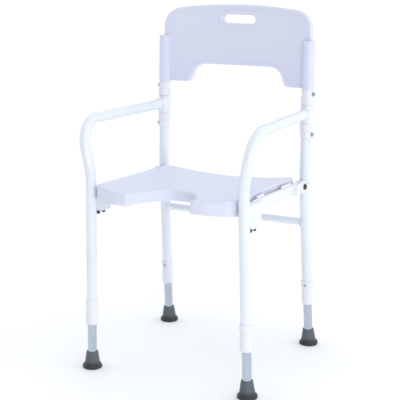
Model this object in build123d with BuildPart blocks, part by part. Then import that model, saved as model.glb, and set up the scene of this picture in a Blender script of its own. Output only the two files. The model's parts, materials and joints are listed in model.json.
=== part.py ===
from build123d import *
import os
from math import asin, atan, cos, degrees, radians, sin

os.makedirs("parts", exist_ok=True)

# Shower chair with a contoured seat, curved backrest, fixed arms and adjustable legs.
# Millimetres. The sitter faces -Y. Left and right are as seen from the front, so right is +X.
# The origin is on the floor, under the middle of the chair.

# ---- tubes
TUBE_R = 12.7
TUBE_WALL = 1.2
LEG_R = 11.1
LEG_WALL = 1.2
CROSS_R = 8.9
CROSS_WALL = 1.5

# ---- side frame centrelines of the right-hand side, at rest
FRONT_Y = -188.1
FRONT_FOOT = Vector(209, FRONT_Y, 0)
FRONT_KINK = Vector(197.4, FRONT_Y - 4.8, 485)
ARM_CORNER = Vector(219.8, FRONT_Y - 11.6, 611.5)
ARM_REAR = Vector(200, FRONT_Y + 361.7, 608)
KINK_BEND = 150
ARM_BEND = 62

REAR_FOOT = Vector(206, FRONT_Y + 392, 0)
REAR_KNEE = Vector(199, FRONT_Y + 355.3, 438)
UPRIGHT_RAKE = atan(0.0386)
UPRIGHT_TOP = 338
KNEE_BEND = 150

# ---- adjustable legs
OUTER_END = 120
LEG_TOP = 300
COLLAR_LOW = 113
COLLAR_HIGH = 177
LATCH_HEIGHT = 166
HOLE_PITCH = 25
HOLE_COUNT = 5
HOLE_R = 3.9
BUTTON_INNER = LEG_R + 2.6
BUTTON_OUTER = 16.6
FOOT_R = 24
FOOT_HEIGHT = 42
FOOT_FLOOR = 7
WASHER_THICK = 1.5

# ---- joints of the arms with the uprights, as lengths up the upright from its knee
SLEEVE_LOW = 145
SLEEVE_HIGH = 190
SLEEVE_R = 15.5
RING_R = 15.9
RING_HEIGHT = 19
TAIL_R = 14.5
TAIL_LENGTH = 17
COLLAR_BOLT_OFFSET = 8
COLLAR_BOLT_R = 2.9
COLLAR_HOLE_R = 3

# ---- stretcher between the rear legs
CROSS_HEIGHT = 331
FLARE_R = 12.4
FLARE_LENGTH = 5

# ---- seat deck: tilted plane through the seat's side rims, seat running back from the front legs
DECK_TILT = 2.2
DECK_Z = 463.3
SEAT_HALF = 181
SEAT_BACK = 342
SEAT_FRONT = -20
SEAT_NOSE = -38
NOSE_X = 79
CUT_DEPTH = 83
CUT_R = 54
SEAT_THICK = 38
SEAT_SKIN = 4
SEAT_ROLL = 4
RIB = 3
RIBS_ALONG = (-65, 65)
RIBS_ACROSS = (108, 222)
DISH_DEPTH = 13.5
RIM_DEPTH = 28
PIVOT_V = 331
PIVOT_W = -21

# ---- side rails
RAIL_IN = 189.5
RAIL_OUT = 209.5
RAIL_MID = (RAIL_IN + RAIL_OUT) / 2
RAIL_FACE = 199
RAIL_TOP = -12
RAIL_LOW = -36.5
BOSS_R = 15
BOSS_START = 284
BLOCK_FRONT = 5
BLOCK_BACK = 70
BLOCK_TOP = -14
BLOCK_LOW = -71.5
LUG_TOP = -6
LUG_THICK = 3.5
LUGS = ((83, 121), (226, 284))
LEDGE_IN = 172
LEDGE_TOP = -29
LEDGE_ENDS = (72, 300)
POCKETS = (105, 150, 195, 240)

# ---- fastenings of the rails: a tab on the front leg, a clamp on the rear leg
TAB_W = -55
TAB_THICK = 4
TAB_LENGTH = 62
TAB_MIDDLE = 30
TAB_WIDTH = 14
SCREW_V = (30, 53)
RAIL_SCREW_R = 2.4
TONGUE_HALF = 4
CLAMP_R = 15.6
CLAMP_LOW = 408
CLAMP_HIGH = 436
PIVOT_R = 3.95
PIVOT_HOLE_R = 4
BUSH_BORE_R = 4.03
BOLT_END = 164
BUSH_R = 7

# ---- backrest, on the plane of the uprights
BACK_HALF = 203
BACK_TOP = 428
BACK_SHOULDER = 412
BACK_LOW = 229.5
BACK_ARCH = 276.5
ARCH_FOOT_X = 133
ARCH_HEAD_X = 114
BACK_THICK = 18
BACK_BOW = 20
BACK_MID = 28
BACK_BORDER = 11
BACK_SCREWS = (250, 322)
BACK_RAISE = 1.2
SOCKET_R = 15
SOCKET_TOP = 346
SOCKET_DOME = 4
SLOT_HEIGHT = 392
SLOT_LENGTH = 90
SLOT_WIDTH = 22
SCREW_PILOT_R = 2
SCREW_SEAT_R = 4.6


def save(piece, name):
    piece.part.label = name
    export_step(piece.part, f"parts/{name}.step")


def save_pair(piece, name):
    """The right-hand piece and its mirror image on the left."""
    with BuildPart() as left:
        mirror(piece.part, about=Plane.YZ)
    save(piece, f"{name}_right")
    save(left, f"{name}_left")


def save_group(piece, name):
    """A right-hand set of small pieces and its mirror image, as one node of separate solids."""
    with BuildPart() as both:
        add(piece.part)
        mirror(about=Plane.YZ)
    save(both, name)


def along(origin, direction, x_dir=(1, 0, 0)):
    """A plane whose normal runs along a tube."""
    return Plane(origin=origin, x_dir=x_dir, z_dir=direction)


FRONT_AXIS = (FRONT_KINK - FRONT_FOOT).normalized()
REAR_AXIS = (REAR_KNEE - REAR_FOOT).normalized()
UPRIGHT_AXIS = Vector(0, sin(UPRIGHT_RAKE), cos(UPRIGHT_RAKE))
ARM_AXIS = (ARM_REAR - ARM_CORNER).normalized()


def on_upright(height):
    return REAR_KNEE + UPRIGHT_AXIS * height


def deck(offset=0, x=0):
    """The tilted plane of the seat; local Y runs backwards, local Z is up through the seat."""
    t = radians(DECK_TILT)
    normal = Vector(0, sin(t), cos(t))
    origin = Vector(x, FRONT_Y, DECK_Z) + normal * offset
    return Plane(origin=origin, x_dir=(1, 0, 0), z_dir=normal)


def deck_side(x):
    """The deck seen from the side; local X runs backwards, local Y is up through the seat."""
    t = radians(DECK_TILT)
    return Plane(origin=(x, FRONT_Y, DECK_Z), x_dir=(0, cos(t), -sin(t)), z_dir=(1, 0, 0))


def deck_point(x, v, w):
    return deck().from_local_coords(Vector(x, v, w))


BACK_PLANE = Plane(
    origin=(0, REAR_KNEE.Y, REAR_KNEE.Z),
    x_dir=(1, 0, 0),
    z_dir=(0, -cos(UPRIGHT_RAKE), sin(UPRIGHT_RAKE)),
)
ARC_PLANE = Plane(origin=(0, REAR_KNEE.Y, REAR_KNEE.Z), x_dir=(1, 0, 0), z_dir=UPRIGHT_AXIS)


# ------------------------------------------------------------------ bent frame tubes
def latch_side(front):
    """The legs' latches face each other: rearwards on the front legs, forwards on the rear."""
    return 1 if front else -1


def latch_plane(front, height):
    """A plane square to the latch, on the leg's axis at a height up the leg."""
    foot, axis = (FRONT_FOOT, FRONT_AXIS) if front else (REAR_FOOT, REAR_AXIS)
    point = foot + axis * height
    outward = Vector(0, latch_side(front), 0)
    outward = (outward - axis * outward.dot(axis)).normalized()
    return Plane(origin=point, x_dir=(1, 0, 0), z_dir=outward)


def bent_tube(points, radii, front):
    with BuildPart() as tube:
        with BuildLine() as path:
            FilletPolyline(*points, radius=radii)
        with BuildSketch(Plane(origin=path.line @ 0, z_dir=path.line % 0)):
            Circle(TUBE_R)
            Circle(TUBE_R - TUBE_WALL, mode=Mode.SUBTRACT)
        sweep()
        with BuildSketch(latch_plane(front, LATCH_HEIGHT)):
            Circle(HOLE_R)
        extrude(amount=TUBE_R * 2, mode=Mode.SUBTRACT)
    return tube


def arm_tube():
    start = FRONT_FOOT + FRONT_AXIS * OUTER_END
    end = ARM_REAR - ARM_AXIS * (SLEEVE_R + 0.4)
    return bent_tube([start, FRONT_KINK, ARM_CORNER, end], [KINK_BEND, ARM_BEND], True)


def rear_upright():
    start = REAR_FOOT + REAR_AXIS * OUTER_END
    tube = bent_tube([start, REAR_KNEE, on_upright(UPRIGHT_TOP)], [KNEE_BEND], False)
    with BuildPart() as drilled:
        add(tube.part)
        for height in bolt_heights():
            with BuildSketch(Plane(origin=on_upright(height), x_dir=(0, 1, 0), z_dir=(1, 0, 0))):
                Circle(COLLAR_HOLE_R)
            extrude(amount=TUBE_R * 2, mode=Mode.SUBTRACT)
        for height in BACK_SCREWS:
            with BuildSketch(Plane(origin=on_upright(height), x_dir=(1, 0, 0), z_dir=(0, 1, 0))):
                Circle(SCREW_PILOT_R)
            extrude(amount=TUBE_R * 2, mode=Mode.SUBTRACT)
    return drilled


def bolt_heights():
    return (
        SLEEVE_HIGH + RING_HEIGHT + COLLAR_BOLT_OFFSET,
        SLEEVE_LOW - RING_HEIGHT - COLLAR_BOLT_OFFSET,
    )


def cross_tube():
    """Straight stretcher between the rear legs, coped to them, with a small weld flare each end."""
    on_leg = REAR_FOOT + (REAR_KNEE - REAR_FOOT) * (CROSS_HEIGHT / REAR_KNEE.Z)
    middle = Plane(origin=(0, on_leg.Y, CROSS_HEIGHT), x_dir=(0, 1, 0), z_dir=(1, 0, 0))
    with BuildPart() as tube:
        with BuildSketch(middle):
            Circle(CROSS_R)
        extrude(amount=on_leg.X, both=True)
        flare = Plane(origin=(0, on_leg.Y, CROSS_HEIGHT), x_dir=(1, 0, 0), z_dir=(0, 1, 0))
        reach = on_leg.X - TUBE_R
        with BuildSketch(flare):
            with BuildLine():
                Polyline(
                    (reach - FLARE_LENGTH, 0), (reach - FLARE_LENGTH, CROSS_R), (reach + 2, FLARE_R),
                    (reach + 2, 0), close=True,
                )
            make_face()
        revolve(axis=Axis((0, on_leg.Y, CROSS_HEIGHT), (1, 0, 0)))
        mirror(about=Plane.YZ)
        with BuildSketch(middle):
            Circle(CROSS_R - CROSS_WALL)
        extrude(amount=on_leg.X, both=True, mode=Mode.SUBTRACT)
        for side in (1, -1):
            foot = Vector(side * REAR_FOOT.X, REAR_FOOT.Y, 0)
            axis = Vector(side * REAR_AXIS.X, REAR_AXIS.Y, REAR_AXIS.Z)
            with BuildSketch(along(foot + axis * 250, axis)):
                Circle(TUBE_R)
            extrude(amount=160, mode=Mode.SUBTRACT)
    return tube


# ------------------------------------------------------------------ arm to upright joints
def arm_sleeve():
    """Cast sleeve round the upright, with a flared socket that takes the arm."""
    socket_length = 30
    with BuildPart() as sleeve:
        with BuildSketch(along(on_upright(SLEEVE_LOW), UPRIGHT_AXIS)):
            Circle(SLEEVE_R)
        extrude(amount=SLEEVE_HIGH - SLEEVE_LOW)
        with BuildSketch(along(ARM_REAR, -ARM_AXIS)):
            Circle(TUBE_R + 1.8)
        extrude(amount=socket_length)
        with BuildSketch(along(ARM_REAR - ARM_AXIS * (SLEEVE_R + 0.4), -ARM_AXIS)):
            Circle(TUBE_R)
        extrude(amount=socket_length, mode=Mode.SUBTRACT)
        with BuildSketch(along(on_upright(SLEEVE_LOW - 10), UPRIGHT_AXIS)):
            Circle(TUBE_R)
        extrude(amount=SLEEVE_HIGH - SLEEVE_LOW + 20, mode=Mode.SUBTRACT)
    return sleeve


def upright_collar(upper):
    """Ring that stops the sleeve, with a thinner tail that is bolted to the upright."""
    away = 1 if upper else -1
    base = on_upright(SLEEVE_HIGH + 0.2 if upper else SLEEVE_LOW - 0.2)
    plane = along(base, UPRIGHT_AXIS * away)
    with BuildPart() as collar:
        with BuildSketch(plane):
            Circle(RING_R)
        extrude(amount=RING_HEIGHT)
        fillet(collar.edges().filter_by(GeomType.CIRCLE), 1.8)
        with BuildSketch(plane.offset(RING_HEIGHT - 2)):
            Circle(TAIL_R)
        extrude(amount=TAIL_LENGTH + 2)
        with BuildSketch(plane):
            Circle(TUBE_R)
        extrude(amount=60, mode=Mode.SUBTRACT)
        height = bolt_heights()[0 if upper else 1]
        with BuildSketch(Plane(origin=on_upright(height), x_dir=(0, 1, 0), z_dir=(1, 0, 0))):
            Circle(COLLAR_HOLE_R)
        extrude(amount=40, mode=Mode.SUBTRACT)
    return collar


def domed_screw(head_r, head_height, dome_height, shank_r, shank_length, socket_r):
    """A domed screw head above the XY plane with its shank below; a hex socket where there is room."""
    dome_r = (head_r**2 + dome_height**2) / (2 * dome_height)
    half_angle = asin(head_r / dome_r) / 2
    crown = (dome_r * sin(half_angle), head_height - dome_r * (1 - cos(half_angle)))
    shoulder = (head_r, head_height - dome_height)
    with BuildPart() as screw:
        with BuildSketch(Plane.XZ):
            with BuildLine():
                Polyline((0, head_height), (0, 0), (head_r, 0), shoulder)
                ThreePointArc(shoulder, crown, (0, head_height))
            make_face()
        revolve(axis=Axis.Z)
        with BuildSketch(Plane.XY):
            Circle(shank_r)
        extrude(amount=-shank_length)
        if socket_r:
            with BuildSketch(Plane.XY.offset(head_height)):
                RegularPolygon(socket_r, 6)
            extrude(amount=-head_height * 0.55, mode=Mode.SUBTRACT)
    return screw


def placed(piece, origin, z_dir, x_dir):
    return Plane(origin=origin, x_dir=x_dir, z_dir=z_dir).location * piece.part


def collar_bolts():
    screw = domed_screw(5.6, 4.8, 3, COLLAR_BOLT_R, 7.5, 2.7)
    with BuildPart() as bolts:
        for height in bolt_heights():
            add(placed(screw, on_upright(height) + Vector(TAIL_R + 0.05, 0, 0), (1, 0, 0), (0, 1, 0)))
    return bolts


def rivet_nuts():
    """Threaded inserts inside the uprights that take the collar bolts."""
    with BuildPart() as nuts:
        for height in bolt_heights():
            inner = TUBE_R - TUBE_WALL
            with BuildSketch(Plane(origin=on_upright(height) + Vector(inner - 5, 0, 0),
                                   x_dir=(0, 1, 0), z_dir=(1, 0, 0))):
                Circle(4.6)
                Circle(2.95, mode=Mode.SUBTRACT)
            extrude(amount=4)
    return nuts


# ------------------------------------------------------------------ legs
def leg_line(front):
    return (FRONT_FOOT, FRONT_AXIS) if front else (REAR_FOOT, REAR_AXIS)


def axial_section(front):
    """A plane through the leg's axis: local X is the radius, local Y runs up the leg."""
    foot, axis = leg_line(front)
    across = Vector(1, 0, 0)
    across = (across - axis * across.dot(axis)).normalized()
    return Plane(origin=foot, x_dir=across, z_dir=across.cross(axis))


def leg_axis(front):
    foot, axis = leg_line(front)
    return Axis(foot, axis)


def leg_collar(front):
    """Plastic ferrule at the outer tube's end: a ring, a waist and a longer ring."""
    with BuildPart() as collar:
        with BuildSketch(axial_section(front)):
            with BuildLine():
                Polyline(
                    (LEG_R + 0.35, COLLAR_LOW), (13.6, COLLAR_LOW), (15, COLLAR_LOW + 3),
                    (15, 139), (13.9, 141.5), (13.9, 157.5), (15.2, 159.5), (15.2, 175),
                    (14.2, COLLAR_HIGH), (TUBE_R, COLLAR_HIGH), (TUBE_R, OUTER_END),
                    (LEG_R + 0.35, OUTER_END), close=True,
                )
            make_face()
        revolve(axis=leg_axis(front))
        with BuildSketch(latch_plane(front, LATCH_HEIGHT)):
            Circle(HOLE_R)
        extrude(amount=30, mode=Mode.SUBTRACT)
    return collar


def leg_tube(front):
    """Inner tube with a row of latch holes above its first one."""
    with BuildPart() as tube:
        with BuildSketch(axial_section(front)):
            with Locations((LEG_R - LEG_WALL / 2, (LEG_TOP + FOOT_FLOOR + WASHER_THICK) / 2)):
                Rectangle(LEG_WALL, LEG_TOP - FOOT_FLOOR - WASHER_THICK)
        revolve(axis=leg_axis(front))
        for step in range(HOLE_COUNT):
            with BuildSketch(latch_plane(front, LATCH_HEIGHT + step * HOLE_PITCH)):
                Circle(HOLE_R)
            extrude(amount=30, mode=Mode.SUBTRACT)
    return tube


def backrest_screws():
    """Self-tapping screws through the backrest's sockets, from behind, into the uprights."""
    screw = domed_screw(4.2, 2.6, 1.7, 1.9, 5, 0)
    with BuildPart() as screws:
        for height in BACK_SCREWS:
            behind = on_upright(height) + Vector(0, SOCKET_R + 0.05, 0)
            add(placed(screw, behind, (0, 1, 0), (1, 0, 0)))
    return screws


def rubber_foot(front):
    """Tapered ferrule on a thick round flange, cut level where it meets the floor."""
    with BuildPart() as foot:
        with BuildSketch(axial_section(front)):
            with BuildLine():
                Polyline((0, -3), (FOOT_R - 1.5, -3), (FOOT_R - 1.5, 0))
                ThreePointArc((FOOT_R - 1.5, 0), (FOOT_R, 4.5), (FOOT_R - 1.8, 8.2))
                ThreePointArc((FOOT_R - 1.8, 8.2), (FOOT_R - 4.6, 10), (FOOT_R - 5.6, 13))
                Polyline((FOOT_R - 5.6, 13), (14.4, FOOT_HEIGHT - 3), (13.6, FOOT_HEIGHT),
                         (LEG_R, FOOT_HEIGHT), (LEG_R, FOOT_FLOOR), (0, FOOT_FLOOR), (0, -3))
            make_face()
        revolve(axis=leg_axis(front))
        split(bisect_by=Plane.XY, keep=Keep.TOP)
        base, _ = leg_line(front)
        with BuildSketch(Plane(origin=(base.X, base.Y, 0))):
            for ring in (8, 13, 18):
                Circle(ring + 1)
                Circle(ring - 1, mode=Mode.SUBTRACT)
        extrude(amount=1.5, mode=Mode.SUBTRACT)
    return foot


def foot_washer(front):
    """Steel disc inside the rubber foot that carries the tube's end."""
    foot, axis = leg_line(front)
    with BuildPart() as washer:
        with BuildSketch(along(foot + axis * FOOT_FLOOR, axis)):
            Circle(LEG_R)
        extrude(amount=WASHER_THICK)
    return washer


def latch_button(front):
    """Round push button in the ferrule's upper ring, in the ring's and the outer tube's hole."""
    plane = latch_plane(front, LATCH_HEIGHT)
    with BuildPart() as button:
        with BuildSketch(plane.offset(BUTTON_INNER)):
            Circle(HOLE_R - 0.3)
        extrude(amount=BUTTON_OUTER - BUTTON_INNER)
        fillet(button.edges().sort_by(Axis(plane.origin, plane.z_dir))[-1], 1)
    return button


# ------------------------------------------------------------------ side rails
def rail_profile():
    """The rail seen from the side, drawn on the deck's side plane."""
    with BuildSketch(deck_side(RAIL_IN)) as profile:
        with BuildLine():
            Polyline(
                (BLOCK_FRONT, BLOCK_TOP), (BLOCK_BACK - 10, BLOCK_TOP), (BLOCK_BACK, RAIL_TOP),
                (BOSS_START, RAIL_TOP), (PIVOT_V, PIVOT_W + 13), (PIVOT_V, PIVOT_W - 13),
                (BOSS_START, RAIL_LOW), (BLOCK_BACK, RAIL_LOW), (BLOCK_BACK, BLOCK_LOW),
                (BLOCK_FRONT + 22, BLOCK_LOW), (BLOCK_FRONT, BLOCK_LOW + 14), close=True,
            )
        make_face()
        with Locations((PIVOT_V, PIVOT_W)):
            Circle(BOSS_R)
    return profile


def side_rail():
    """Moulded rail behind the front leg, with a drop block at the front and a pivot boss behind."""
    profile = rail_profile()
    with BuildPart() as rail:
        extrude(profile.sketch, amount=RAIL_OUT - RAIL_IN)
        fillet(rail.edges().group_by(Axis.X)[-1], 2.2)
        # the stretch between block and boss is slimmer on the outside
        with BuildSketch(deck_side(RAIL_FACE)):
            with Locations(((BLOCK_BACK + BOSS_START) / 2, RAIL_TOP)):
                Rectangle(BOSS_START - BLOCK_BACK, 60)
        extrude(amount=RAIL_OUT - RAIL_FACE + 1, mode=Mode.SUBTRACT)
        # low lugs along the top, next to the seat
        with BuildSketch(deck_side(RAIL_IN)):
            for start, end in LUGS:
                with Locations(((start + end) / 2, (RAIL_TOP + LUG_TOP) / 2 - 1)):
                    Rectangle(end - start, LUG_TOP - RAIL_TOP + 2)
        extrude(amount=LUG_THICK)
        # inboard side: a ledge that carries the seat's rim
        with BuildSketch(deck_side(LEDGE_IN)):
            with Locations((sum(LEDGE_ENDS) / 2, LEDGE_TOP - 2)):
                Rectangle(LEDGE_ENDS[1] - LEDGE_ENDS[0], 4)
        extrude(amount=RAIL_IN - LEDGE_IN + 2)
        # inboard side: lightening pockets between ribs
        with BuildSketch(deck_side(RAIL_IN)):
            for middle in POCKETS:
                with Locations((middle, (RAIL_TOP + LEDGE_TOP) / 2)):
                    RectangleRounded(36, 11, 3)
        extrude(amount=6, mode=Mode.SUBTRACT)
        # slot for the tab that is welded to the front leg
        with BuildSketch(deck_side(RAIL_MID - TAB_WIDTH / 2)):
            with Locations((TAB_MIDDLE, TAB_W)):
                Rectangle(TAB_LENGTH, TAB_THICK)
        extrude(amount=TAB_WIDTH, mode=Mode.SUBTRACT)
        # slot for the rear clamp's tongue
        with BuildSketch(deck_side(RAIL_MID - TONGUE_HALF - 0.2)):
            with Locations((PIVOT_V + 12, PIVOT_W)):
                Rectangle(64, 2 * BOSS_R + 2)
        extrude(amount=2 * TONGUE_HALF + 0.4, mode=Mode.SUBTRACT)
        with BuildSketch(deck_side(RAIL_IN - 1)):
            with Locations((PIVOT_V, PIVOT_W)):
                Circle(PIVOT_HOLE_R)
        extrude(amount=RAIL_OUT - RAIL_IN + 2, mode=Mode.SUBTRACT)
        for v in SCREW_V:
            with BuildSketch(deck(BLOCK_LOW, RAIL_MID)):
                with Locations((0, v)):
                    Circle(RAIL_SCREW_R + 0.2)
            extrude(amount=30, mode=Mode.SUBTRACT)
        # hollows that seat the rail on the front leg and on the rear clamp
        with BuildSketch(along(FRONT_FOOT + FRONT_AXIS * 350, FRONT_AXIS)):
            Circle(TUBE_R)
        extrude(amount=130, mode=Mode.SUBTRACT)
        with BuildSketch(along(REAR_FOOT + REAR_AXIS * 380, REAR_AXIS)):
            Circle(CLAMP_R + 0.2)
        extrude(amount=100, mode=Mode.SUBTRACT)
    return rail


def leg_tab():
    """Steel tab welded to the back of the front leg, inside the rail's block."""
    with BuildPart() as tab:
        with BuildSketch(deck_side(RAIL_MID - TAB_WIDTH / 2 + 0.2)):
            with Locations((TAB_MIDDLE, TAB_W)):
                Rectangle(TAB_LENGTH - 1, TAB_THICK - 0.2)
        extrude(amount=TAB_WIDTH - 0.4)
        for v in SCREW_V:
            with BuildSketch(deck(BLOCK_LOW, RAIL_MID)):
                with Locations((0, v)):
                    Circle(RAIL_SCREW_R + 0.1)
            extrude(amount=30, mode=Mode.SUBTRACT)
        with BuildSketch(along(FRONT_FOOT + FRONT_AXIS * 350, FRONT_AXIS)):
            Circle(TUBE_R)
        extrude(amount=130, mode=Mode.SUBTRACT)
    return tab


def rail_screws():
    """Two screws a side, up through the block into the tab."""
    screw = domed_screw(4.8, 9, 2.6, RAIL_SCREW_R, 19, 2.2)
    normal = deck().z_dir
    with BuildPart() as screws:
        for v in SCREW_V:
            head = deck_point(RAIL_MID, v, BLOCK_LOW)
            add(placed(screw, head, -normal, (1, 0, 0)))
    return screws


def rail_clamp():
    """Ring clamped round the rear leg, with a tongue for the pivot bolt."""
    base = REAR_FOOT + REAR_AXIS * CLAMP_LOW
    with BuildPart() as clamp:
        with BuildSketch(along(base, REAR_AXIS)):
            Circle(CLAMP_R)
        extrude(amount=CLAMP_HIGH - CLAMP_LOW)
        fillet(clamp.edges().filter_by(GeomType.CIRCLE), 1.5)
        with BuildSketch(deck_side(RAIL_MID - TONGUE_HALF)):
            with Locations((PIVOT_V, PIVOT_W)):
                Circle(12)
            with Locations((PIVOT_V + 11, PIVOT_W)):
                Rectangle(22, 20)
        extrude(amount=2 * TONGUE_HALF)
        with BuildSketch(deck_side(RAIL_IN)):
            with Locations((PIVOT_V, PIVOT_W)):
                Circle(PIVOT_HOLE_R)
        extrude(amount=RAIL_OUT - RAIL_IN, mode=Mode.SUBTRACT)
        with BuildSketch(along(REAR_FOOT + REAR_AXIS * 380, REAR_AXIS)):
            Circle(TUBE_R + 0.2)
        extrude(amount=100, mode=Mode.SUBTRACT)
    return clamp


def pivot_bolts():
    """Shoulder bolts through rail and clamp, on whose inner ends the seat turns."""
    screw = domed_screw(7.6, 6.5, 4.2, PIVOT_R, RAIL_OUT - BOLT_END, 0)
    with BuildPart() as bolt:
        add(placed(screw, deck_point(RAIL_OUT, PIVOT_V, PIVOT_W), (1, 0, 0), (0, 1, 0)))
    return bolt


def seat_bushes():
    """Flanged bushes in the seat that run on the pivot bolts."""
    with BuildPart() as bush:
        with BuildSketch(deck_side(BOLT_END - 2)):
            with Locations((PIVOT_V, PIVOT_W)):
                Circle(BUSH_R)
        extrude(amount=SEAT_HALF - BOLT_END + 2)
        with BuildSketch(deck_side(SEAT_HALF)):
            with Locations((PIVOT_V, PIVOT_W)):
                Circle(BUSH_R + 2.5)
        extrude(amount=RAIL_IN - SEAT_HALF - 0.5)
        with BuildSketch(deck_side(BOLT_END - 0.3)):
            with Locations((PIVOT_V, PIVOT_W)):
                Circle(BUSH_BORE_R)
        extrude(amount=60, mode=Mode.SUBTRACT)
    return bush


# ------------------------------------------------------------------ seat
def seat_outline(inset=0):
    """Seat in plan: square-ended behind, two rounded lobes in front with a deep cut-out between."""
    with BuildSketch() as outline:
        with BuildLine():
            right = Polyline(
                (0, SEAT_BACK), (SEAT_HALF, SEAT_BACK), (SEAT_HALF, SEAT_FRONT),
                (NOSE_X + 34, SEAT_NOSE), (0, SEAT_NOSE),
            )
            mirror(right, about=Plane.YZ)
        make_face()
        fillet(near(outline.vertices(), SEAT_HALF, SEAT_BACK), 24)
        fillet(near(outline.vertices(), SEAT_HALF, SEAT_FRONT), 30)
        fillet(near(outline.vertices(), NOSE_X + 34, SEAT_NOSE), 60)
        with BuildLine():
            depth = CUT_DEPTH - SEAT_NOSE - CUT_R
            flank_r = (NOSE_X**2 + depth**2 - CUT_R**2) / (2 * (NOSE_X - CUT_R))
            turn = degrees(asin(depth / (flank_r - CUT_R)))
            flank = JernArc((NOSE_X, SEAT_NOSE), (0, 1), flank_r, turn)
            apex = JernArc(flank @ 1, flank % 1, CUT_R, 180 - 2 * turn)
            far = JernArc(apex @ 1, apex % 1, flank_r, turn)
            Line(far @ 1, flank @ 0)
        make_face(mode=Mode.SUBTRACT)
        fillet(near(outline.vertices(), NOSE_X, SEAT_NOSE), 11)
        if inset:
            offset(amount=-inset, mode=Mode.REPLACE)
    return outline


def near(vertices, x, y):
    """The mirrored pair of corners at +-x, y."""
    return [c for c in vertices if abs(abs(c.X) - x) < 0.1 and abs(c.Y - y) < 0.1]


def dish(deeper):
    """The shallow cylinder that scoops the seat from side to side."""
    radius = (SEAT_HALF**2 + DISH_DEPTH**2) / (2 * DISH_DEPTH)
    with BuildPart() as tool:
        with BuildSketch(Plane(origin=(0, -100, 0), x_dir=(1, 0, 0), z_dir=(0, 1, 0))):
            with Locations((0, DISH_DEPTH - radius)):
                Circle(radius + deeper)
        extrude(amount=600)
    return tool


def seat_hollow():
    """The ribbed hollow under the seat, as the solid cells between the ribs."""
    scoop = dish(SEAT_SKIN)
    inner = seat_outline(SEAT_SKIN)
    with BuildPart() as cells:
        with BuildSketch(Plane.XY.offset(-SEAT_THICK - 1)):
            add(inner.sketch)
        extrude(amount=SEAT_THICK + 6)
        add(scoop.part, mode=Mode.SUBTRACT)
        for x in RIBS_ALONG:
            with BuildSketch(Plane.XY.offset(-SEAT_THICK - 2)):
                with Locations((x, (RIBS_ACROSS[0] + SEAT_BACK) / 2)):
                    Rectangle(RIB, SEAT_BACK - RIBS_ACROSS[0])
            extrude(amount=SEAT_THICK + 10, mode=Mode.SUBTRACT)
        for v in RIBS_ACROSS:
            with BuildSketch(Plane.XY.offset(-SEAT_THICK - 2)):
                with Locations((0, v)):
                    Rectangle(400, RIB)
            extrude(amount=SEAT_THICK + 10, mode=Mode.SUBTRACT)
        with BuildSketch(Plane.XY.offset(-SEAT_THICK - 2)):
            with Locations((BOLT_END + 8, PIVOT_V - 2), (-BOLT_END - 8, PIVOT_V - 2)):
                Rectangle(34, 30)
        extrude(amount=SEAT_THICK + 10, mode=Mode.SUBTRACT)
    return cells


def seat_panel():
    outline = seat_outline()
    scoop = dish(0)
    hollow = seat_hollow()
    with BuildPart() as seat:
        with BuildSketch(Plane.XY.offset(-SEAT_THICK)):
            add(outline.sketch)
        extrude(amount=SEAT_THICK + 5)
        add(scoop.part, mode=Mode.SUBTRACT)
        top = seat.faces().filter_by(GeomType.CYLINDER).sort_by(SortBy.AREA)[-1]
        fillet(top.edges(), SEAT_ROLL)
        bottom = seat.faces().filter_by(Plane.XY).sort_by(Axis.Z)[0]
        fillet(bottom.edges(), 1.5)
        add(hollow.part, mode=Mode.SUBTRACT)
        for side in (1, -1):
            with BuildSketch(Plane.XY.offset(-SEAT_THICK - 1)):
                with Locations((side * (SEAT_HALF - 1), 175)):
                    Rectangle(22, 262)
            extrude(amount=SEAT_THICK + 1 - RIM_DEPTH, mode=Mode.SUBTRACT)
            bore = Plane(origin=(side * (BOLT_END - 2), PIVOT_V, PIVOT_W), x_dir=(0, 1, 0), z_dir=(side, 0, 0))
            with BuildSketch(bore):
                Circle(BUSH_R)
            extrude(amount=SEAT_HALF - BOLT_END + 3, mode=Mode.SUBTRACT)
    with BuildPart() as panel:
        add(deck().location * seat.part)
    return panel


def seat_pads():
    """Small rubber pads under the seat's rim, which meet the rails' ledges."""
    with BuildPart() as pads:
        for v in (95, 270):
            with BuildSketch(deck(-RIM_DEPTH, 0)):
                with Locations((SEAT_HALF - 3, v)):
                    RectangleRounded(5, 26, 2)
            extrude(amount=-0.7)
    return pads


# ------------------------------------------------------------------ backrest
def back_slab(front_extra):
    """The curved sheet that the backrest is cut from; extra thickness goes on the sitter's side."""
    radius = (BACK_HALF**2 + BACK_BOW**2) / (2 * BACK_BOW)
    with BuildPart() as slab:
        with BuildSketch(ARC_PLANE.offset(BACK_LOW - 10)):
            with Locations((0, BACK_MID - radius)):
                Circle(radius + BACK_THICK / 2)
                Circle(radius - BACK_THICK / 2 - front_extra, mode=Mode.SUBTRACT)
            with Locations((0, -radius)):
                Rectangle(3 * radius, 2 * radius - 60, mode=Mode.SUBTRACT)
        extrude(amount=BACK_TOP - BACK_LOW + 20)
    return slab


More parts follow.
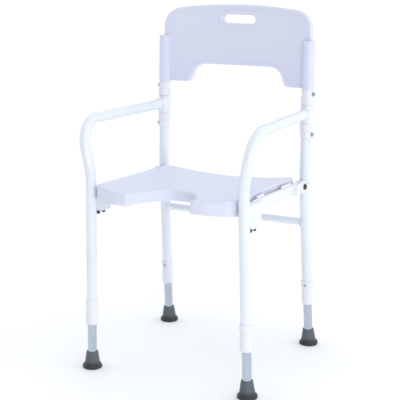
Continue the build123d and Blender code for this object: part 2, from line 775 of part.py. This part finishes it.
def back_outline(inset=0):
    """Backrest seen square on: round top corners, and two lobes below with an arch between."""
    with BuildSketch() as outline:
        with BuildLine():
            ThreePointArc((-BACK_HALF, BACK_SHOULDER), (0, BACK_TOP), (BACK_HALF, BACK_SHOULDER))
            right = Polyline(
                (BACK_HALF, BACK_SHOULDER), (BACK_HALF, BACK_LOW), (ARCH_FOOT_X, BACK_LOW),
                (ARCH_HEAD_X, BACK_ARCH), (0, BACK_ARCH),
            )
            mirror(right, about=Plane.YZ)
        make_face()
        fillet(near(outline.vertices(), BACK_HALF, BACK_SHOULDER), 50)
        fillet(near(outline.vertices(), BACK_HALF, BACK_LOW), 8)
        fillet(near(outline.vertices(), ARCH_FOOT_X, BACK_LOW), 14)
        fillet(near(outline.vertices(), ARCH_HEAD_X, BACK_ARCH), 34)
        with Locations((0, SLOT_HEIGHT)):
            SlotOverall(SLOT_LENGTH, SLOT_WIDTH, mode=Mode.SUBTRACT)
        if inset:
            offset(amount=-inset, mode=Mode.REPLACE)
    return outline


def back_sockets():
    """Round sockets with domed tops, one for each upright."""
    base = REAR_KNEE + UPRIGHT_AXIS * BACK_LOW
    with BuildPart() as sockets:
        with BuildSketch(along(base, UPRIGHT_AXIS)):
            Circle(SOCKET_R)
        extrude(amount=SOCKET_TOP - BACK_LOW)
        fillet(sockets.edges().sort_by(Axis.Z)[-1], SOCKET_DOME)
        mirror(about=Plane.YZ)
    return sockets


def backrest():
    """Curved panel with a hand slot, an arched lower edge and two sockets for the uprights."""
    outline = back_outline()
    inner = back_outline(BACK_BORDER)
    slab = back_slab(0)
    raised = back_slab(BACK_RAISE)
    sockets = back_sockets()
    with BuildPart() as field:
        with BuildSketch(BACK_PLANE):
            add(inner.sketch)
        extrude(amount=80, both=True)
        add(raised.part, mode=Mode.INTERSECT)
    with BuildPart() as panel:
        with BuildSketch(BACK_PLANE):
            add(outline.sketch)
        extrude(amount=80, both=True)
        add(slab.part, mode=Mode.INTERSECT)
        fillet([e for e in panel.edges() if e.length > 3 and not is_through(e)], 4)
        add(field.part)
        add(sockets.part)
        for side in (1, -1):
            knee = Vector(side * REAR_KNEE.X, REAR_KNEE.Y, REAR_KNEE.Z)
            with BuildSketch(along(knee + UPRIGHT_AXIS * (BACK_LOW - 5), UPRIGHT_AXIS)):
                Circle(TUBE_R)
            extrude(amount=UPRIGHT_TOP + 0.5 - BACK_LOW + 5, mode=Mode.SUBTRACT)
        for height in BACK_SCREWS:
            behind = Plane(origin=on_upright(height), x_dir=(1, 0, 0), z_dir=(0, 1, 0))
            for across in (0, -2 * REAR_KNEE.X):
                with BuildSketch(behind):
                    with Locations((across, 0)):
                        Circle(SCREW_PILOT_R)
                extrude(amount=SOCKET_R + 5, mode=Mode.SUBTRACT)
                with BuildSketch(behind.offset(SOCKET_R)):
                    with Locations((across, 0)):
                        Circle(SCREW_SEAT_R)
                extrude(amount=10, mode=Mode.SUBTRACT)
    return panel


def is_through(edge):
    """Edges that run through the panel's thickness, from its front to its back."""
    direction = (edge @ 1) - (edge @ 0)
    return abs(direction.normalized().Y) > 0.9


def main():
    save_pair(arm_tube(), "arm_tube")
    save_pair(rear_upright(), "rear_upright")
    save(cross_tube(), "cross_tube")
    save_pair(arm_sleeve(), "arm_sleeve")
    save_pair(upright_collar(True), "upper_collar")
    save_pair(upright_collar(False), "lower_collar")
    save_group(collar_bolts(), "collar_bolts")
    save_group(rivet_nuts(), "rivet_nuts")
    save_pair(side_rail(), "side_rail")
    save_pair(leg_tab(), "leg_tab")
    save_group(rail_screws(), "rail_screws")
    save_pair(rail_clamp(), "rail_clamp")
    save_group(pivot_bolts(), "pivot_bolts")
    save_group(seat_bushes(), "seat_bushes")
    save_group(backrest_screws(), "backrest_screws")
    save_group(seat_pads(), "seat_pads")
    save(seat_panel(), "seat_panel")
    save(backrest(), "backrest")
    for front, place in ((True, "front"), (False, "rear")):
        save_pair(leg_collar(front), f"{place}_leg_collar")
        save_pair(leg_tube(front), f"{place}_leg_tube")
        save_pair(rubber_foot(front), f"{place}_foot")
        save_pair(foot_washer(front), f"{place}_foot_washer")
        save_pair(latch_button(front), f"{place}_latch_button")


main()
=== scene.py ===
import json
from math import radians

import bpy
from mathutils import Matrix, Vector

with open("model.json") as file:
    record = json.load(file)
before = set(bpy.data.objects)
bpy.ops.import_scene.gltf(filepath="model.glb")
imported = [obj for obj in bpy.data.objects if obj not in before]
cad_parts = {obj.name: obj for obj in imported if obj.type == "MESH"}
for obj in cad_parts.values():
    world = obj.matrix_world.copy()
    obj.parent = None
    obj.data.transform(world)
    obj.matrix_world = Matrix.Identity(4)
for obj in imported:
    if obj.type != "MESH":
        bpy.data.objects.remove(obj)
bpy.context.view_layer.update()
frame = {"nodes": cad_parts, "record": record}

# A white shower chair: powder-coated tube frame, moulded seat and backrest, bright inner legs,
# slate-grey rubber feet. Metres. The sitter faces -Y and +X is to the right from the front.

# ---- view: angles in degrees, the lens and the sensor in millimetres
CAMERA_AZIMUTH = 26.84
CAMERA_ELEVATION = 13.08
CAMERA_PLACE = (1.1701, -2.3275, 1.0088)
LENS = 98.5
SENSOR = 36

# ---- studio: the floor's side, and each lamp's name, place, size, watts and colour
FLOOR_SIDE = 40
LAMP_TARGET = (0, 0, 0.45)
LAMPS = (
    ("key", (1.9, -2.6, 0.7), (1.6, 1.2), 21, (1, 0.995, 0.99)),
    ("rim", (2.9, 0.9, 1.2), (0.8, 2.0), 5, (0.98, 0.99, 1)),
)
# the sky's colour, the side where it is darker, and the facing and strength it runs from and to
SKY = (0.96, 0.98, 1.0, 1)
DARK_SIDE = (-0.30, -0.94, 0.15)
DARK_RANGE = (0.64, 0.98, 1.16, 0.15)


# ------------------------------------------------------------------ materials
class Nodes:
    """A new material's node tree, with short calls for the nodes that the surfaces here use."""

    def __init__(self, name):
        self.material = bpy.data.materials.new(name)
        self.material.use_nodes = True
        self.tree = self.material.node_tree
        self.shader = self.tree.nodes["Principled BSDF"]
        self.coordinates = self.add("ShaderNodeTexCoord").outputs["Object"]

    def add(self, kind, **values):
        node = self.tree.nodes.new(kind)
        for name, value in values.items():
            setattr(node, name, value)
        return node

    def link(self, output, socket):
        self.tree.links.new(output, socket)

    def set(self, **values):
        """Sets the shader's own sockets; a name's underscores stand for spaces."""
        for name, value in values.items():
            self.shader.inputs[name.replace("_", " ")].default_value = value

    def stretched(self, scale):
        mapping = self.add("ShaderNodeMapping")
        mapping.inputs["Scale"].default_value = scale
        self.link(self.coordinates, mapping.inputs["Vector"])
        return mapping.outputs["Vector"]

    def noise(self, scale, detail=2.0, roughness=0.5, coordinates=None):
        node = self.add("ShaderNodeTexNoise")
        node.inputs["Scale"].default_value = scale
        node.inputs["Detail"].default_value = detail
        node.inputs["Roughness"].default_value = roughness
        self.link(coordinates or self.coordinates, node.inputs["Vector"])
        return node.outputs["Fac"]

    def pebbles(self, scale):
        node = self.add("ShaderNodeTexVoronoi", feature="SMOOTH_F1")
        node.inputs["Scale"].default_value = scale
        self.link(self.coordinates, node.inputs["Vector"])
        return node.outputs["Distance"]

    def ranged(self, value, low, high, from_low=0.3, from_high=0.7):
        node = self.add("ShaderNodeMapRange")
        node.inputs["From Min"].default_value = from_low
        node.inputs["From Max"].default_value = from_high
        node.inputs["To Min"].default_value = low
        node.inputs["To Max"].default_value = high
        self.link(value, node.inputs["Value"])
        return node.outputs["Result"]

    def colours(self, value, stops):
        """A colour ramp of (place, colour) stops into the base colour."""
        ramp = self.add("ShaderNodeValToRGB")
        elements = ramp.color_ramp.elements
        while len(elements) < len(stops):
            elements.new(0.5)
        for element, (place, colour) in zip(elements, stops):
            element.position = place
            element.color = (*colour, 1)
        self.link(value, ramp.inputs["Fac"])
        self.link(ramp.outputs["Color"], self.shader.inputs["Base Color"])

    def bump(self, layers):
        """Bumps of (height, distance in metres, strength), one on top of the other."""
        normal = None
        for height, distance, strength in layers:
            node = self.add("ShaderNodeBump")
            node.inputs["Distance"].default_value = distance
            node.inputs["Strength"].default_value = strength
            self.link(height, node.inputs["Height"])
            if normal:
                self.link(normal, node.inputs["Normal"])
            normal = node.outputs["Normal"]
        self.link(normal, self.shader.inputs["Normal"])

    def rough(self, value, low, high):
        self.link(self.ranged(value, low, high), self.shader.inputs["Roughness"])


def mixed(colour, other, share):
    """The colour with a share of the other in it."""
    return tuple(a + (b - a) * share for a, b in zip(colour, other))


def powder_coat():
    """Glossy white powder coat with a faint orange peel and slightly uneven cover."""
    n = Nodes("powder_coat")
    white = (0.74, 0.785, 0.845)
    thin = mixed(white, (0.64, 0.70, 0.77), 0.35)
    n.colours(n.noise(9, 3), [(0.35, thin), (0.65, white)])
    n.rough(n.noise(60, 3), 0.16, 0.24)
    n.bump([(n.noise(420, 2), 0.00012, 0.35), (n.noise(1500, 1), 0.00004, 0.25)])
    n.set(Coat_Weight=0.35, Coat_Roughness=0.08, IOR=1.5)
    return n.material


def fitting_plastic():
    """Satin white nylon of the collars, sleeves and rails."""
    n = Nodes("fitting_plastic")
    white = (0.77, 0.785, 0.84)
    dull = mixed(white, (0.70, 0.72, 0.79), 0.4)
    n.colours(n.noise(25, 4), [(0.3, dull), (0.7, white)])
    n.rough(n.noise(180, 3), 0.34, 0.46)
    n.bump([(n.noise(900, 3), 0.00006, 0.4), (n.noise(35, 1), 0.0004, 0.12)])
    n.set(Subsurface_Weight=0.06, Subsurface_Radius=(0.004, 0.004, 0.005), IOR=1.5)
    return n.material


def seat_plastic():
    """Lavender-white polyethylene with a fine moulded grain."""
    n = Nodes("seat_plastic")
    white = (0.675, 0.695, 0.83)
    dull = mixed(white, (0.635, 0.66, 0.805), 0.45)
    n.colours(n.noise(6, 4), [(0.3, dull), (0.7, white)])
    n.rough(n.noise(140, 4), 0.42, 0.56)
    n.bump([(n.pebbles(900), 0.00018, 0.35), (n.noise(12, 2), 0.0008, 0.10)])
    n.set(Subsurface_Weight=0.05, Subsurface_Radius=(0.004, 0.004, 0.005), IOR=1.48)
    return n.material


def bright_tube():
    """Bright anodised aluminium, with fine lines drawn along the tube."""
    n = Nodes("bright_tube")
    drawn = n.stretched((1, 1, 0.02))
    streaks = n.noise(900, 3, 0.6, drawn)
    n.colours(streaks, [(0.3, (0.40, 0.45, 0.53)), (0.7, (0.60, 0.65, 0.73))])
    n.rough(n.noise(300, 4, 0.6, drawn), 0.12, 0.24)
    n.bump([(streaks, 0.00004, 0.3)])
    n.set(Metallic=1.0)
    return n.material


def slate_rubber():
    """Slate-grey moulded rubber, with painted shade: darker where the flange turns down to the
    floor.
    """
    n = Nodes("slate_rubber")
    foot_height = 0.045
    place = n.add("ShaderNodeSeparateXYZ")
    n.link(n.coordinates, place.inputs["Vector"])
    # painted shade: near-black below about a quarter of the foot's height, where the flange rim
    # lies in shadow, slate above
    n.colours(n.ranged(place.outputs["Z"], 0, 1, 0.0, foot_height), [
        (0.02, (0.018, 0.022, 0.025)),
        (0.26, (0.030, 0.036, 0.040)),
        (0.42, (0.078, 0.100, 0.115)),
        (1.0, (0.090, 0.112, 0.128)),
    ])
    n.rough(n.noise(160, 4), 0.42, 0.62)
    n.bump([(n.noise(700, 3), 0.00012, 0.5), (n.noise(60, 2), 0.0005, 0.15)])
    n.set(IOR=1.5)
    return n.material


def plated_steel():
    """Zinc-plated steel of the bolts, washers and inserts."""
    n = Nodes("plated_steel")
    n.colours(n.noise(400, 3), [(0.3, (0.30, 0.31, 0.35)), (0.7, (0.46, 0.47, 0.51))])
    n.rough(n.noise(900, 3), 0.22, 0.36)
    n.bump([(n.noise(1600, 2), 0.00004, 0.3)])
    n.set(Metallic=1.0)
    return n.material


def black_steel():
    """Black screw heads with a little shine."""
    n = Nodes("black_steel")
    n.colours(n.noise(500, 3), [(0.3, (0.006, 0.007, 0.009)), (0.7, (0.02, 0.021, 0.025))])
    n.rough(n.noise(800, 3), 0.12, 0.24)
    n.bump([(n.noise(1500, 2), 0.00003, 0.3)])
    n.set(Coat_Weight=0.6, Coat_Roughness=0.06, IOR=1.5)
    return n.material


def button_plastic():
    """Smooth grey plastic of the latch buttons."""
    n = Nodes("button_plastic")
    n.colours(n.noise(300, 3), [(0.3, (0.36, 0.38, 0.43)), (0.7, (0.46, 0.48, 0.53))])
    n.rough(n.noise(500, 3), 0.22, 0.32)
    n.bump([(n.noise(1200, 2), 0.00004, 0.3)])
    n.set(IOR=1.5)
    return n.material


def natural_nylon():
    """Cream nylon of the seat's bushes."""
    n = Nodes("natural_nylon")
    n.colours(n.noise(200, 3), [(0.3, (0.66, 0.65, 0.60)), (0.7, (0.74, 0.73, 0.69))])
    n.rough(n.noise(500, 3), 0.36, 0.5)
    n.bump([(n.noise(1000, 2), 0.00005, 0.3)])
    n.set(IOR=1.5)
    return n.material


SURFACES = {
    "powder_coat": powder_coat,
    "white_fitting": fitting_plastic,
    "seat_plastic": seat_plastic,
    "polished_tube": bright_tube,
    "grey_rubber": slate_rubber,
    "steel": plated_steel,
    "black_screw": black_steel,
    "button_plastic": button_plastic,
    "bush_nylon": natural_nylon,
}


def dress_nodes():
    """Gives each CAD node the surface of its material slot."""
    made = {slot: make() for slot, make in SURFACES.items()}
    slots = {s["node"]: s["material_slot"] for s in frame["record"]["subparts"]}
    for node, obj in frame["nodes"].items():
        obj.data.materials.clear()
        obj.data.materials.append(made[slots[node]])


# ------------------------------------------------------------------ stage
def floor_material():
    """Nearly white, matt floor."""
    n = Nodes("pale_floor")
    n.colours(n.noise(3, 2), [(0.3, (0.95, 0.95, 0.95)), (0.7, (0.97, 0.97, 0.97))])
    n.rough(n.noise(20, 2), 0.65, 0.8)
    return n.material


def add_floor():
    bpy.ops.mesh.primitive_plane_add(size=FLOOR_SIDE, location=(0, 0, 0))
    floor = bpy.context.object
    floor.name = "floor"
    floor.data.materials.append(floor_material())


def add_lamp(name, place, size, power, colour):
    """A rectangular area lamp that faces the middle of the chair."""
    lamp = bpy.data.lights.new(name, "AREA")
    lamp.shape = "RECTANGLE"
    lamp.size, lamp.size_y = size
    lamp.energy = power
    lamp.color = colour
    obj = bpy.data.objects.new(name, lamp)
    bpy.context.scene.collection.objects.link(obj)
    obj.location = place
    facing = Vector(LAMP_TARGET) - Vector(place)
    obj.rotation_euler = facing.to_track_quat("-Z", "Y").to_euler()


def add_world():
    """A bright studio all round, darker in front, a little to the left."""
    world = bpy.data.worlds.new("studio")
    bpy.context.scene.world = world
    world.use_nodes = True
    tree = world.node_tree
    direction = tree.nodes.new("ShaderNodeTexCoord")
    facing = tree.nodes.new("ShaderNodeVectorMath")
    facing.operation = "DOT_PRODUCT"
    facing.inputs[1].default_value = DARK_SIDE
    tree.links.new(direction.outputs["Generated"], facing.inputs[0])
    ranged = tree.nodes.new("ShaderNodeMapRange")
    ranged.interpolation_type = "SMOOTHSTEP"
    for name, value in zip(("From Min", "From Max", "To Min", "To Max"), DARK_RANGE):
        ranged.inputs[name].default_value = value
    tree.links.new(facing.outputs["Value"], ranged.inputs["Value"])
    background = tree.nodes["Background"]
    background.inputs["Color"].default_value = SKY
    tree.links.new(ranged.outputs["Result"], background.inputs["Strength"])


def add_camera():
    camera = bpy.data.cameras.new("camera")
    camera.lens = LENS
    camera.sensor_width = SENSOR
    obj = bpy.data.objects.new("camera", camera)
    bpy.context.scene.collection.objects.link(obj)
    obj.location = CAMERA_PLACE
    obj.rotation_euler = (radians(90 - CAMERA_ELEVATION), 0, radians(CAMERA_AZIMUTH))
    bpy.context.scene.camera = obj


add_camera()
dress_nodes()
add_floor()
add_world()
for lamp in LAMPS:
    add_lamp(*lamp)
bpy.context.scene.view_settings.view_transform = "Standard"
